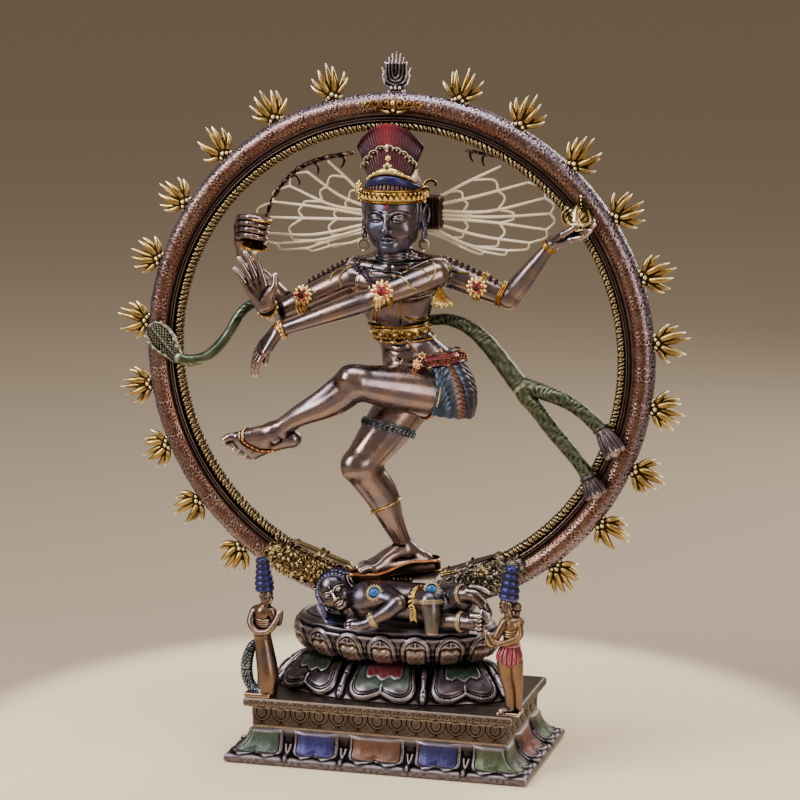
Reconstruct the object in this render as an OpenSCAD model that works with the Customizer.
// Dancing figure in a ring of flames, on a lotus seat and a stepped plinth.
// Cast pieces are pinned, screwed and brazed together; nothing on it moves.
// Front is -Y, +X is to the right seen from the front, Z = 0 is the underside.

/* [Plinth] */
// Width of the bottom slab
foot_w = 220; // [219:0.5:222]
// Depth of the bottom slab
foot_d = 126; // [125:0.5:128]
// Thickness of the half-round edge of the bottom slab
slab_h = 7; // [6:0.5:8]
// Width of the upright block
dado_w = 184; // [182:1:186]
// Depth of the upright block
dado_d = 100; // [98:1:102]
// Width of the top plate
cap_w = 196; // [194:1:198]
// Depth of the top plate
cap_d = 110; // [109:1:112]

/* [Lotus] */
// Width of the lower lotus where it meets the plinth
skirt_w = 184; // [180:1:186]
// Depth of the lower lotus where it meets the plinth
skirt_d = 96; // [92:1:98]
// Width of the lotus seat
seat_w = 154; // [150:1:158]
// Depth of the lotus seat
seat_d = 88; // [84:1:92]

/* [Ring of flames] */
// Outer radius of the ring
ring_r = 184; // [183.5:0.1:184.2]
// Radius of the ring's tube
tube_r = 8; // [7.5:0.1:8.5]
// Height of a flame
flame_h = 22.5; // [20:0.5:24]
// Width of a flame
flame_w = 22; // [18:1:23]
// Height of the top flame
top_flame_h = 28.7; // [26:0.1:30]
// Diameter of the pin under each flame
pin_d = 3; // [2.5:0.1:3.4]

/* [Fasteners] */
// Diameter of the two long bolts that hold the plinth and lotus together
bolt_d = 8; // [7:0.5:9]
// Diameter of the stud under the standing foot
stud_d = 5; // [4:0.5:6]

/* [Hidden] */
$fn = 48;

foot_h = 24;
dado_h = 16;
cap_h = 6.7;
dado_z = foot_h;
cap_z = dado_z + dado_h;
skirt_z = cap_z + cap_h;
skirt_h = 27.3;
seat_z = skirt_z + skirt_h;
seat_h = 26;
seat_top = seat_z + seat_h;

ring_z = seat_top + ring_r + 3.3;
land_w = 9;
tube_mid = ring_r - tube_r - 0.5;
rim_out = ring_r - 20;
rim_in = rim_out - 5;
flame_count = 21;
flame_step = 14.14;
flame_t = 5;
pin_len = 5;
fit_gap = 0.05;
tenon_x = 24;
tenon_size = [12, 10];
bolt_x = 34;
head_recess = [18, 8];
bevel_n = 8;

// Joints of the dancing figure
neck_top = [0, -6, 364];
neck_low = [-1, -3, 350];
chest_r = [-17, -5, 338];
chest_l = [20, -5, 340];
ribs_r = [-10, -6, 320];
ribs_l = [13, -6, 321];
waist = [3, -3, 304];
belly = [8, -4, 285];
hip_r = [10, 1, 262];
hip_l = [30, -6, 263];
head_c = [0.5, -8, 385];
// Rear right arm, holding the drum
rr_arm = [[-29, 4, 345], [-82, 10, 317], [-113, 5, 350], [-111, 0, 368]];
// Front right arm, palm raised
fr_arm = [[-30, -9, 341], [-86, -16, 314], [-79, -50, 327], [-82, -52, 338]];
// Front left arm, across the body with the hand drooping
fl_arm = [[32, -12, 347], [-4, -36, 333], [-72, -45, 308], [-80, -46, 299]];
// Rear left arm, flame on the palm
rl_arm = [[33, 2, 348], [80, 4, 330], [112, -3, 371], [126, -6, 378]];
// Raised left leg
lifted = [[30, -10, 263], [-17, -44, 275], [-76, -41, 238]];
lifted_foot = [[-64, -37, 231], [-86, -43, 230], [-108, -46, 222]];
// Standing right leg
planted = [[10, 0, 256], [-20, -26, 212], [8, -2, 149]];
planted_foot = [[20, 4, 139.5], [-2, -9, 138.5], [-24, -20, 136.5]];
sole_z = 134;
sandal_h = 3;
drum_c = [-99.5, -7, 371];
palm_fire = [131, -8, 382.5];

// Scarf ends: the cobra on the right arm and the forked sash on the left hip
cobra_path = [
    [-85, -9, 320], [-96, -4, 321], [-107, -1, 318], [-118, -3, 309], [-125, -5, 297],
    [-134, -8, 286], [-145, -11, 279], [-156, -13, 279]
];
cobra_hood = [[-158, -14, 281], [-167, -15, 289], [-176, -15, 303]];
sash_path = [[20, 3, 312], [36, 5, 313], [52, 4, 308], [66, 2, 297], [80, 0, 281], [90, -2, 271]];
sash_upper = [[90, -2, 271], [108, -4, 267], [126, -6, 261], [142, -8, 252], [153, -10, 242]];
sash_lower = [[90, -2, 271], [102, -3, 255], [113, -5, 240], [125, -8, 227], [139, -11, 215]];

// Fallen figure under the foot, lying on its side with its head to the left
demon_hips = [34, -23, 115];
demon_ribs = [-14, -25, 116.5];
demon_head_c = [-37, -25, 120];
stud_x = -9;
stud_y = -15;
demon_head_r = 13;

function flame_name(i) = str("flame_", i < 10 ? "0" : "", i);
function flame_angle(i) = 90 - (i - (flame_count + 1) / 2) * flame_step;
function ellipse(w, d, n) = [for (i = [0:n - 1]) [w / 2 * cos(360 * i / n), d / 2 * sin(360 * i / n)]];

// Right and left edges of a stroke of a given width along flat points
function stroke_side(p, i) =
    let (a = p[max(i - 1, 0)], b = p[min(i + 1, len(p) - 1)], d = b - a) [-d[1], d[0]] / norm(d);
function stroke(p, w) = concat(
    [for (i = [0:len(p) - 1]) p[i] + stroke_side(p, i) * w / 2],
    [for (i = [len(p) - 1:-1:0]) p[i] - stroke_side(p, i) * w / 2]
);

// Half profile of a moulding, mirrored into a closed outline
function both_sides(p) = concat(p, [for (i = [len(p) - 1:-1:0]) [-p[i][0], p[i][1]]]);

module at(p) {
    translate(p)
        children();
}

module bone(a, ra, b, rb, n = 14) {
    hull() {
        at(a) sphere(ra, $fn = n);
        at(b) sphere(rb, $fn = n);
    }
}

module chain(points, r_start, r_end, n = 10) {
    last = len(points) - 1;
    for (i = [0:last - 1])
        bone(
            points[i], r_start + (r_end - r_start) * i / last,
            points[i + 1], r_start + (r_end - r_start) * (i + 1) / last, n
        );
}

// A plate whose four edges carry the same moulding, mitred at the corners
module moulded(profile_x, profile_y, w, d) {
    intersection() {
        rotate([90, 0, 0]) linear_extrude(d, center = true) polygon(both_sides(profile_x));
        rotate([90, 0, 90]) linear_extrude(w, center = true) polygon(both_sides(profile_y));
    }
}

function half_round(half_w, h) = [
    for (i = [0:bevel_n]) let (a = -90 + 180 * i / bevel_n) [half_w - h / 2 * (1 - cos(a)), h / 2 * (1 + sin(a))]
];
function cavetto(from_w, to_w, z, h) = [
    for (i = [0:bevel_n]) let (a = 90 * i / bevel_n) [from_w - (from_w - to_w) * sin(a), z + h * (1 - cos(a))]
];
function foot_profile(half_w, half_top) =
    concat(half_round(half_w, slab_h), cavetto(half_w - slab_h / 2 - 1, half_top, slab_h, foot_h - slab_h));

module bolt_holes(d, z, h) {
    for (side = [-1, 1])
        at([side * bolt_x, 0, z]) cylinder(h, d = d);
}

module plinth_foot() {
    color("#8a7b72")
        difference() {
            moulded(foot_profile(foot_w / 2, dado_w / 2), foot_profile(foot_d / 2, dado_d / 2), foot_w, foot_d);
            bolt_holes(bolt_d + 0.5, -1, foot_h + 2);
            bolt_holes(head_recess[0], -1, head_recess[1] + 1);
        }
}

// One row of hanging half-round scales along the top of a face
module scales(length, count, out) {
    pitch = length / count;
    for (i = [0:count - 1])
        translate([(i + 0.5) * pitch - length / 2, -out, dado_h - 1])
            rotate([-90, 0, 0])
                linear_extrude(3)
                    polygon([for (a = [0:15:180]) (pitch / 2 - 0.4) * [cos(a), 1.5 * sin(a)]]);
}

module plinth_dado() {
    color("#6b5240")
        difference() {
            translate([0, 0, dado_z]) {
                translate([-dado_w / 2, -dado_d / 2, 0]) cube([dado_w, dado_d, dado_h]);
                for (side = [0, 180]) {
                    rotate(side) translate([0, -dado_d / 2, 0]) scales(dado_w, 13, 1.2);
                    rotate(side + 90) translate([0, -dado_w / 2, 0]) scales(dado_d, 7, 1.2);
                }
            }
            bolt_holes(bolt_d + 0.5, dado_z - 1, dado_h + 2);
        }
}

module plinth_cap() {
    color("#57463c")
        difference() {
            translate([0, 0, cap_z])
                moulded(half_round(cap_w / 2, cap_h), half_round(cap_d / 2, cap_h), cap_w, cap_d);
            bolt_holes(bolt_d + 0.5, cap_z - 1, cap_h + 2);
        }
}

module oval_step(z0, size0, z1, size1) {
    hull() {
        translate([0, 0, z0]) linear_extrude(0.01) polygon(ellipse(size0[0], size0[1], 48));
        translate([0, 0, z1 - 0.01]) linear_extrude(0.01) polygon(ellipse(size1[0], size1[1], 48));
    }
}

module lotus_skirt() {
    z = skirt_z;
    waist_size = [118, 58];
    color("#7d7470")
        difference() {
            union() {
                oval_step(z, [skirt_w, skirt_d], z + 5, [skirt_w - 6, skirt_d - 4]);
                oval_step(z + 5, [skirt_w - 6, skirt_d - 4], z + 15, [skirt_w - 40, skirt_d - 22]);
                oval_step(z + 15, [skirt_w - 40, skirt_d - 22], z + skirt_h, waist_size);
            }
            bolt_holes(bolt_d + 0.5, z - 1, skirt_h + 2);
        }
}

module lotus_seat() {
    z = seat_z;
    color("#8c8078")
        difference() {
            union() {
                oval_step(z, [seat_w - 26, seat_d - 24], z + 7, [seat_w, seat_d]);
                oval_step(z + 7, [seat_w, seat_d], z + 20, [seat_w - 3, seat_d - 3]);
                oval_step(z + 20, [seat_w - 3, seat_d - 3], seat_top, [seat_w - 14, seat_d - 12]);
            }
            bolt_holes(bolt_d + 2 * fit_gap, z - 1, 14);
            for (side = [-1, 1])
                translate([side * tenon_x, 0, seat_top - 10 + 5.5])
                    cube([tenon_size[0] + 0.4, tenon_size[1] + 0.4, 11], center = true);
            stud_hole(seat_top - 9, 10);
        }
}

module tie_bolts() {
    color("#777777")
        for (side = [-1, 1])
            at([side * bolt_x, 0, 0]) {
                at([0, 0, 1]) cylinder(head_recess[1] - 1, d = 14.5, $fn = 6);
                at([0, 0, head_recess[1] - 1]) cylinder(seat_z + 11 - head_recess[1], d = bolt_d);
            }
}

// Stud through the fallen figure into the lotus seat, under the ball of the standing foot
module stud_hole(z, h) {
    at([stud_x, stud_y, z]) cylinder(h, d = stud_d + 0.3);
}

module foot_stud() {
    bottom = seat_top - 8.5;
    color("#777777")
        at([stud_x, stud_y, bottom]) cylinder(sole_z + 3 - bottom, d = stud_d);
}

module ring_profile() {
    translate([tube_mid, 0]) circle(tube_r);
    translate([ring_r - 6, -land_w / 2]) square([6, land_w]);
    translate([rim_out, -5.5]) square([6, 11]);
}

module stand_up() {
    translate([0, 0, ring_z])
        rotate([90, 0, 0])
            children();
}

module pin_holes() {
    for (i = [1:flame_count])
        stand_up()
            rotate(flame_angle(i) - 90)
                translate([0, ring_r - pin_len - 0.2, 0])
                    rotate([-90, 0, 0])
                        cylinder(pin_len + 2, d = pin_d + 2 * fit_gap, $fn = 24);
}

module prabha_ring() {
    color("#6e4a40")
        difference() {
            union() {
                stand_up() rotate_extrude($fn = 160) ring_profile();
                for (side = [-1, 1])
                    translate([side * tenon_x, 0, seat_top + 1.5])
                        cube([tenon_size[0], tenon_size[1], 21], center = true);
            }
            pin_holes();
            stand_up() cylinder(40, r = rim_out, center = true, $fn = 160);
        }
}

module ring_inner_rim() {
    color("#8f7a4a")
        stand_up()
            rotate_extrude($fn = 160)
                translate([rim_in, -4])
                    square([rim_out - rim_in - fit_gap, 8]);
}

// Scroll ornament on the front of the ring at its top
module ring_crest() {
    color("#9a8467")
        difference() {
            union() {
                for (side = [-1, 1]) {
                    bone([0, -10, ring_z + tube_mid + 5], 3.5, [side * 10, -10, ring_z + tube_mid + 1], 3, 10);
                    bone([side * 10, -10, ring_z + tube_mid + 1], 3, [side * 20, -9.5, ring_z + tube_mid - 1], 2, 10);
                    bone([side * 10, -10, ring_z + tube_mid - 1], 2.6, [side * 6, -10, ring_z + tube_mid - 6], 2, 10);
                }
                bone([0, -10, ring_z + tube_mid + 5], 4, [0, -10, ring_z + tube_mid - 5], 3, 10);
            }
            ring_block(12);
        }
}

// Coarse stand-in of the ring's section between two angles, to cut neighbours against
module ring_block(n, from = 0, to = 360) {
    stand_up()
        rotate(from)
            rotate_extrude(angle = to - from, $fn = n == 12 ? 160 : n)
                union() {
                    translate([tube_mid, 0]) circle(tube_r + fit_gap, $fn = 16);
                    translate([rim_in - fit_gap, -5.5]) square([12, 11]);
                }
}

// A crocodile-like sea beast whose jaws hold the ring's lower end; from and to are its angles
module makara(from, to) {
    mid = (from + to) / 2;
    way = from < -90 ? 1 : -1;
    polar = function (r, a, y) [r * cos(a), y, ring_z + r * sin(a)];
    difference() {
        union() {
            bone(polar(172, from, -2), 12, polar(172, mid, -2), 13.5);
            bone(polar(172, mid, -2), 13.5, polar(174, to, -2), 11);
            bone(polar(162, from + 3 * way, -9), 4.5, polar(166, from - 4 * way, -9), 2.5, 10);
            bone(polar(184, from + 3 * way, -3), 4, polar(186, from - 3 * way, -3), 2.5, 10);
            bone(polar(158, mid, -8), 4.5, polar(153, mid + 5 * way, -8), 3, 10);
            bone(polar(160, to, -9), 5, polar(156, to - 5 * way, -9), 3.5, 10);
            bone(polar(184, mid, -4), 4.5, polar(183, mid + 7 * way, -4), 4, 10);
            bone(polar(172, mid - 3 * way, -14), 3.5, polar(166, mid + 5 * way, -14), 3, 10);
        }
        ring_block(12);
        translate([-100, -60, 0]) cube([200, 120, seat_top]);
    }
}

module makara_left() {
    color("#b39a5a") makara(-127, -107);
}

module makara_right() {
    color("#8e8a84") makara(-53, -73);
}

// Outline of a flame: pointed tongues with notches between them, widest at mid height
function flame_outline(w, h, tongues) = concat(
    [[-w * 0.16, 0]],
    [
        for (i = [0:2 * tongues - 2])
            let (
                s = (i / (tongues - 1)) - 1,
                tip = i % 2 == 0,
                x = s * w / 2,
                z = tip ? h * (1 - 0.5 * s * s) : h * (0.62 - 0.2 * s * s)
            )
            [tip ? x : x * 0.86, z]
    ],
    [[w * 0.16, 0]]
);

module flame(i) {
    top = i == (flame_count + 1) / 2;
    h = top ? top_flame_h : flame_h;
    tongues = top ? 7 : 5;
    color(top ? "#a8a094" : "#c79a45")
        stand_up()
            rotate(flame_angle(i) - 90)
                translate([0, ring_r, 0]) {
                    translate([0, fit_gap, -flame_t / 2])
                        linear_extrude(flame_t)
                            polygon(flame_outline(flame_w, h - fit_gap, tongues));
                    translate([0, h * 0.33, -flame_t / 2 - 1]) cylinder(flame_t + 2, d = 7, $fn = 24);
                    translate([0, -pin_len, 0])
                        rotate([-90, 0, 0])
                            cylinder(pin_len + 1, d = pin_d, $fn = 24);
                }
}

module demon_form() {
    bone(demon_ribs, 14.5, demon_hips, 13, 18);
    bone(demon_hips, 12, [58, -28, 120], 8.5);
    bone([58, -28, 120], 8, [66, -30, 106], 6);
    bone([66, -30, 106], 5.5, [74, -36, 103], 4);
    bone([20, -30, 108], 8, [48, -34, 105.5], 5.5);
    bone([-20, -32, 117], 7, [-2, -38, 107], 5.5);
    bone([-2, -38, 107], 5, [-22, -40, 104.5], 4.5);
    bone(demon_ribs, 12.5, demon_head_c, 8);
    bone([50, -20, 125], 5.5, [68, -20, 132], 3.6);
}

module demon_body() {
    color("#4d3a34")
        difference() {
            demon_form();
            at(demon_head_c) sphere(demon_head_r, $fn = 20);
            translate([-120, -80, 0]) cube([240, 160, seat_top]);
            sandal_block();
            stud_hole(seat_top - 1, 60);
            makara_stop();
            ring_block(12, -110, -70);
        }
}

module demon_head() {
    color("#3c3a44")
        difference() {
            union() {
                at(demon_head_c) sphere(demon_head_r, $fn = 20);
                for (a = [100:32:260])
                    bone(
                        demon_head_c + [6 * cos(a), 2, 6 * sin(a) - 2], 9,
                        demon_head_c + [15 * cos(a) - 2, 3, 10 * sin(a) - 4], 5, 10
                    );
            }
            translate([-120, -80, 0]) cube([240, 160, seat_top]);
            ring_block(12, -115, -65);
            makara_stop();
        }
}

// Keeps the fallen figure clear of the sea beasts at both sides
module makara_stop() {
    for (side = [-1, 1])
        translate([side * 100, -16, 110]) cube([70, 14, 60], center = true);
}

module sandal_block() {
    translate([0, 0, sole_z - sandal_h])
        linear_extrude(sandal_h + 8)
            polygon(stroke([[27, 7], [12, 0.5], [-6, -9], [-28, -20]], 16));
}

module foot_sandal() {
    color("#b5643a")
        difference() {
            translate([0, 0, sole_z - sandal_h])
                linear_extrude(sandal_h)
                    polygon(stroke([[26.5, 6.8], [12, 0.5], [-6, -9], [-27.5, -19.8]], 15));
            stud_hole(sole_z - sandal_h - 1, sandal_h + 2);
        }
}

module torso_form() {
    hull() {
        at(chest_r) sphere(13.5, $fn = 16);
        at(chest_l) sphere(13.5, $fn = 16);
        at(ribs_r) sphere(11, $fn = 16);
        at(ribs_l) sphere(11, $fn = 16);
    }
    hull() {
        at(ribs_r) sphere(11, $fn = 16);
        at(ribs_l) sphere(11, $fn = 16);
        at(waist + [-3, 0, 0]) sphere(12.5, $fn = 16);
        at(waist + [3, 0, 0]) sphere(12.5, $fn = 16);
    }
    bone(waist, 14, belly, 15.5, 16);
    hull() {
        at(belly) sphere(15.5, $fn = 16);
        at(hip_r) sphere(15, $fn = 16);
        at(hip_l) sphere(15, $fn = 16);
    }
    bone([-20, -2, 346], 8.5, [23, -2, 348], 8.5);
    bone(neck_low, 9.5, neck_top, 8);
}

module figure_torso() {
    color("#54403a") torso_form();
}

module head_form() {
    hull() {
        at(head_c + [0, 1, 5]) sphere(19, $fn = 20);
        at(head_c + [0, -4, -9]) sphere(12, $fn = 16);
    }
}

module figure_head() {
    color("#54403a")
        difference() {
            union() {
                head_form();
                for (side = [-1, 1])
                    bone(
                        head_c + [side * 19, 1, 2], 3.5,
                        head_c + [side * 18, 0, -14], 2.8, 10
                    );
            }
            torso_form();
        }
}

// Four fingers spread from the palm towards tip, and a thumb
module fingers(palm, tip, spread, thumb, r = 2.6) {
    for (i = [0:3])
        bone(palm + spread * (i - 1.5) * 0.6, r, tip + spread * (i - 1.5) * 1.2, r * 0.75, 8);
    bone(palm, r * 1.1, thumb, r * 0.8, 8);
}

module arm_form(joints, radii) {
    bone(joints[0], radii[0], joints[1], radii[1]);
    bone(joints[1], radii[1], joints[2], radii[2]);
    bone(joints[2], radii[2], joints[3], radii[2] * 1.25);
}

arm_radii = [9.5, 7.5, 5];

module arm_rear_right() {
    color("#5b463f")
        difference() {
            union() {
                arm_form(rr_arm, arm_radii);
                fingers(rr_arm[3], [-106, -3, 380], [1.5, 2.2, 1], [-106, -6, 362]);
            }
            torso_form();
            drum_form(0.1);
        }
}

module arm_front_right() {
    color("#5b463f")
        difference() {
            union() {
                arm_form(fr_arm, arm_radii);
                fingers(fr_arm[3], [-93, -50, 363], [3.4, 0.5, 1.6], [-72, -50, 347]);
            }
            torso_form();
            arm_form(rr_arm, arm_radii);
        }
}

module arm_front_left() {
    color("#5b463f")
        difference() {
            union() {
                arm_form(fl_arm, arm_radii);
                fingers(fl_arm[3], [-88, -45, 278], [2.8, 0.5, -1.6], [-78, -47, 286]);
            }
            torso_form();
            arm_form(fr_arm, arm_radii);
        }
}

module arm_rear_left() {
    color("#5b463f")
        difference() {
            union() {
                arm_form(rl_arm, arm_radii);
                fingers(rl_arm[3], [145, -13, 383], [0.6, 2.8, 0], [136, -15, 386]);
            }
            torso_form();
            arm_form(fl_arm, arm_radii);
        }
}

module lifted_form() {
    bone(lifted[0], 16.5, lifted[1], 12.5, 16);
    bone(lifted[1], 12.5, lifted[1] + (lifted[2] - lifted[1]) * 0.35, 11.5);
    bone(lifted[1] + (lifted[2] - lifted[1]) * 0.35, 11.5, lifted[2], 6.5);
}

module leg_raised() {
    color("#5b463f")
        difference() {
            union() {
                lifted_form();
                bone(lifted[2], 6.5, lifted_foot[0], 6);
                bone(lifted_foot[0], 6, lifted_foot[1], 6.5);
                bone(lifted_foot[1], 6.5, lifted_foot[2], 3.6);
            }
            torso_form();
        }
}

module planted_form() {
    bone(planted[0], 18, planted[1], 13, 16);
    bone(planted[1], 13, planted[1] + (planted[2] - planted[1]) * 0.3, 12.8);
    bone(planted[1] + (planted[2] - planted[1]) * 0.3, 12.8, planted[2], 6.5);
}

module leg_standing() {
    color("#5b463f")
        difference() {
            union() {
                planted_form();
                bone(planted[2], 6.5, planted_foot[0], 6);
                bone(planted[2], 6.5, planted_foot[1], 6);
                bone(planted_foot[1], 6, planted_foot[2], 3.6);
            }
            torso_form();
            lifted_form();
            translate([-60, -60, 100]) cube([120, 120, sole_z - 100]);
            stud_hole(sole_z - 1, 4.3);
        }
}

module skirt() {
    color("#5c6672")
        difference() {
            union() {
                hull() {
                    at([18, -4, 291]) sphere(14, $fn = 16);
                    at([36, -3, 288]) sphere(8, $fn = 16);
                    at([44, -4, 252]) sphere(9, $fn = 16);
                    at([16, 8, 254]) sphere(9, $fn = 16);
                    at([30, -16, 252]) sphere(9, $fn = 16);
                }
                bone([-7, -9, 268], 10, [8, -6, 284], 13);
            }
            torso_form();
            lifted_form();
            planted_form();
        }
}

module band(center, axis, r, h, n = 20) {
    turn = [0, acos(axis[2] / norm(axis)), atan2(axis[1], axis[0])];
    at(center) rotate(turn) cylinder(h, r = r, center = true, $fn = n);
}

module waist_belt() {
    color("#b08a3c")
        difference() {
            hull() {
                at(waist + [-8, -3, 3]) sphere(9, $fn = 16);
                at(waist + [9, -1, 5]) sphere(10, $fn = 16);
                at(waist + [-8, -3, 8]) sphere(9, $fn = 16);
                at(waist + [9, -1, 10]) sphere(10, $fn = 16);
            }
            torso_form();
            chain(sash_path, 4.5, 5);
            arm_form(fl_arm, arm_radii);
        }
}

module necklace() {
    color("#7b5a3a")
        difference() {
            union() {
                for (i = [0:7])
                    let (a = 200 + i * 20, b = a + 20)
                    bone(
                        [-1 + 15 * cos(a), -5 + 13 * sin(a), 352 + 5 * sin(a)], 2.6,
                        [-1 + 15 * cos(b), -5 + 13 * sin(b), 352 + 5 * sin(b)], 2.6, 8
                    );
            }
            torso_form();
            arm_form(fl_arm, arm_radii);
            arm_form(fr_arm, arm_radii);
            arm_form(rl_arm, arm_radii);
            arm_form(rr_arm, arm_radii);
        }
}

module earrings() {
    color("#9a7a48")
        for (side = [-1, 1])
            at(head_c + [side * 18, -1, -21.5])
                rotate([90, 0, 0])
                    rotate_extrude($fn = 24)
                        translate([4.2, 0])
                            circle(1.1, $fn = 16);
}

// A cuff around the bone from a to b at the fraction t of its length
module cuff(a, b, t, r, h) {
    band(a + (b - a) * t, b - a, r, h);
}

module armlets() {
    color("#b08a3c")
        difference() {
            union() {
                cuff(fr_arm[0], fr_arm[1], 0.62, 10.2, 9);
                cuff(rl_arm[0], rl_arm[1], 0.62, 10.2, 9);
                cuff(fl_arm[0], fl_arm[1], 0.85, 10.2, 9);
            }
            arm_form(rr_arm, arm_radii);
            arm_form(fr_arm, arm_radii);
            arm_form(fl_arm, arm_radii);
            arm_form(rl_arm, arm_radii);
        }
}

module bracelets() {
    color("#b08a3c")
        difference() {
            union() {
                cuff(rr_arm[1], rr_arm[2], 0.88, 7, 4);
                cuff(fr_arm[1], fr_arm[2], 0.85, 7, 4);
                cuff(fl_arm[1], fl_arm[2], 0.85, 7, 4);
                cuff(rl_arm[1], rl_arm[2], 0.88, 7, 4);
                cuff(planted[1], planted[2], 0.45, 14, 3);
            }
            arm_form(rr_arm, arm_radii);
            arm_form(fr_arm, arm_radii);
            arm_form(fl_arm, arm_radii);
            arm_form(rl_arm, arm_radii);
            planted_form();
        }
}

module crown_band() {
    c = head_c + [0, 1, 0];
    color("#b08a3c")
        difference() {
            union() {
                at(c + [0, 0, 12]) cylinder(4, r = 20.5, $fn = 32);
                at(c + [0, 0, 16]) cylinder(9, r = 19.5, $fn = 32);
                at(c + [0, 0, 25]) cylinder(6, r = 18.5, $fn = 32);
            }
            head_form();
        }
}

module crown_fan() {
    z = head_c[2];
    outline = [[-17, z + 29], [-24.5, z + 49], [-16, z + 61], [-3, z + 65.5], [10, z + 62], [20, z + 51], [14, z + 29]];
    color("#7a1f22")
        translate([0, -12, 0])
            rotate([90, 0, 0])
                linear_extrude(5, center = true)
                    difference() {
                        polygon(outline);
                        translate([-30, z + 20]) square([60, 11.05]);
                    }
}

// A loop of locks in one plane: strands fan out from the root to a curved rim
module locks(root, tip, top, bottom, strands) {
    a_top = atan2(top[1] - root[1], top[0] - root[0]);
    a_tip = atan2(tip[1] - root[1], tip[0] - root[0]);
    a_low = atan2(bottom[1] - root[1], bottom[0] - root[0]);
    r_top = norm(top - root);
    r_tip = norm(tip - root);
    r_low = norm(bottom - root);
    wrap = function (a, b) a + (((b - a) % 360 + 540) % 360 - 180);
    m = wrap(a_top, a_tip);
    l = wrap(m, a_low);
    rim = function (t) t < 0.7
        ? let (u = t / 0.7, s = u * u * (3 - 2 * u)) [a_top + (m - a_top) * u, r_top + (r_tip - r_top) * s]
        : let (u = (t - 0.7) / 0.3) [m + (l - m) * u, r_tip + (r_low - r_tip) * u];
    spot = function (t, k) let (e = rim(t)) root + e[1] * k * [cos(e[0]), sin(e[0])];
    rotate([90, 0, 0])
        linear_extrude(5, center = true) {
            polygon(stroke([for (t = [0:0.05:1]) spot(t, 1)], 2.6));
            polygon(stroke([for (t = [0:0.05:1]) spot(t, 0.62)], 1.8));
            for (i = [0:strands])
                let (t = i / strands)
                polygon(stroke([for (k = [0.02:0.14:1.01]) spot(t + 0.05 * sin(k * 180) * (1 - t), k)], 2));
        }
}

module hair_locks_left() {
    color("#d8c9a8")
        translate([0, 9, 0])
            difference() {
                locks([-18, 374], [-103, 366], [-39, 427], [-72, 360], 7);
                translate([-19, -40, 340]) cube([38, 80, 80]);
            }
}

module hair_locks_right() {
    color("#d8c9a8")
        translate([0, 9, 0])
            difference() {
                locks([19, 384], [106, 385], [47, 431], [72, 366], 7);
                translate([-19, -40, 340]) cube([39, 80, 80]);
            }
}

module cobra_sash() {
    color("#6f7b5c")
        difference() {
            union() {
                chain(cobra_path, 3.4, 4.2);
                hull() {
                    at(cobra_hood[0]) sphere(4.4, $fn = 10);
                    at(cobra_hood[1] + [-8, 0, -5]) sphere(2.6, $fn = 10);
                    at(cobra_hood[1] + [8, 0, 5]) sphere(2.6, $fn = 10);
                    at(cobra_hood[2]) sphere(3.4, $fn = 10);
                }
            }
            arm_form(rr_arm, arm_radii);
            arm_form(fr_arm, arm_radii);
            ring_block(12);
        }
}

module tassel(a, b) {
    hull() {
        at(a) sphere(3.4, $fn = 12);
        at(a + (b - a) * 0.6) sphere(6.6, $fn = 12);
        at(b) sphere(5, $fn = 12);
    }
}

module sash_right() {
    color("#66713f")
        difference() {
            union() {
                chain(sash_path, 4.2, 5);
                chain(sash_upper, 5, 4.2);
                chain(sash_lower, 5, 4.2);
                tassel(sash_upper[4], [158, -14, 229]);
                tassel(sash_lower[4], [145, -14, 202]);
            }
            torso_form();
            ring_block(12);
        }
}

module drum_form(grow) {
    at(drum_c)
        rotate([0, 12, 0])
            rotate_extrude($fn = 32)
                polygon([
                    [0, -11 - grow], [9.5 + grow, -11 - grow], [9.5 + grow, -8], [4.5 + grow, 0],
                    [9.5 + grow, 8], [9.5 + grow, 11 + grow], [0, 11 + grow]
                ]);
}

module drum() {
    color("#8a6a44")
        difference() {
            drum_form(0);
            cylinder(0.01, r = 0.01);
        }
}

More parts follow.
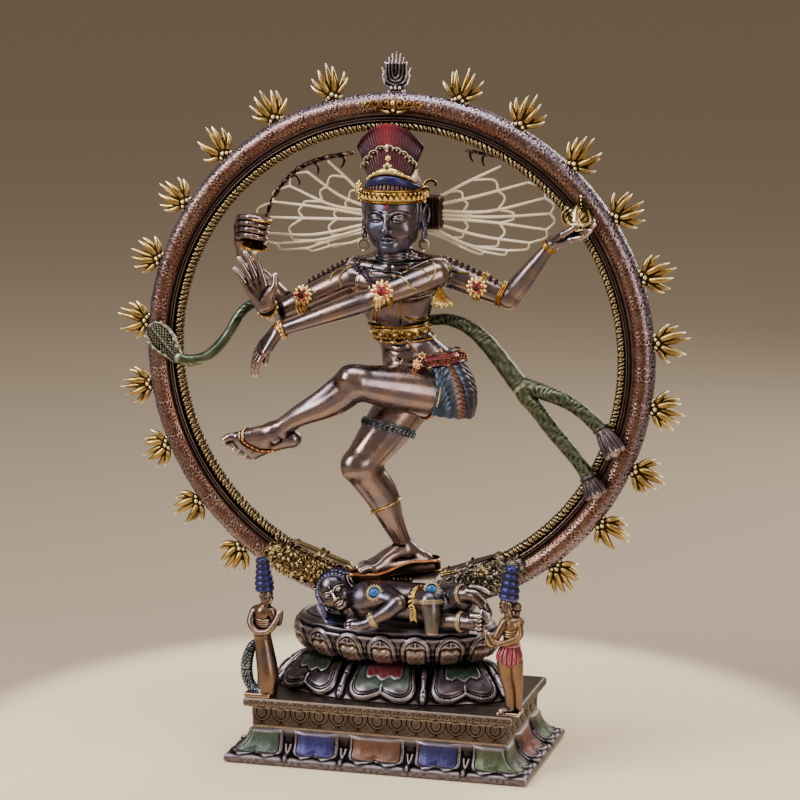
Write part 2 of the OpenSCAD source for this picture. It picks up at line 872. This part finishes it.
module palm_flame() {
    color("#b08a3c")
        difference() {
            union() {
                at(palm_fire) sphere(6.5, $fn = 16);
                for (i = [-2:2])
                    bone(palm_fire + [i * 2, 0, 2], 4, palm_fire + [i * 4.2, 0, 24 - 4 * abs(i)], 0.9, 8);
            }
            arm_form(rl_arm, arm_radii);
            fingers(rl_arm[3], [145, -13, 383], [0.6, 2.8, 0], [136, -15, 386]);
        }
}

// A small standing attendant: lower body, torso, raised hands, head and tall hat; facing +X or -X
module attendant(x, lean, face, h, coil) {
    z = skirt_z;
    hip = [x + lean * 0.4, -45, z + h * 0.42];
    neck = [x + lean * 0.8, -45, z + h * 0.68];
    head = [x + lean * 0.9, -45, z + h * 0.76];
    union() {
        translate([x - 8, -53, z]) cube([16, 16, 5]);
        bone([x, -45, z + 8], coil ? 8 : 5.5, [x - face * 3, -45, z + h * 0.2], coil ? 7 : 6, 12);
        bone([x - face * 3, -45, z + h * 0.2], 6.5, hip, 7, 12);
        bone(hip, 6.5, neck - [0, 0, 6], 7.5, 12);
        bone(neck - [0, 0, 4], 4, head, 3.5, 12);
        at(head + [0, 0, 2]) sphere(6.6, $fn = 16);
        bone(head + [0, 0, 7], 6, head + [lean * 0.1 - face, 0, h * 0.24 - 7], 3.5, 12);
        for (side = [-1, 1]) {
            bone(neck + [0, side * 7, -6], 3.2, neck + [face * 2, side * 8.5, -17], 2.8, 10);
            bone(neck + [face * 2, side * 8.5, -17], 2.8, neck + [face * 11, side * 1.6, -10], 2.2, 10);
        }
    }
}

module attendant_left() {
    color("#575a72") attendant(-88, 5, 1, 99, true);
}

module attendant_right() {
    color("#8c5a4a") attendant(88, 5, -1, 104, false);
}

plinth_foot();
plinth_dado();
plinth_cap();
lotus_skirt();
lotus_seat();
tie_bolts();
prabha_ring();
ring_inner_rim();
ring_crest();
makara_left();
makara_right();
demon_body();
demon_head();
foot_stud();
foot_sandal();
figure_torso();
figure_head();
arm_rear_right();
arm_front_right();
arm_front_left();
arm_rear_left();
leg_raised();
leg_standing();
skirt();
waist_belt();
necklace();
earrings();
armlets();
bracelets();
crown_band();
crown_fan();
hair_locks_left();
hair_locks_right();
cobra_sash();
sash_right();
drum();
palm_flame();
attendant_left();
attendant_right();
for (i = [1:flame_count])
    flame(i);
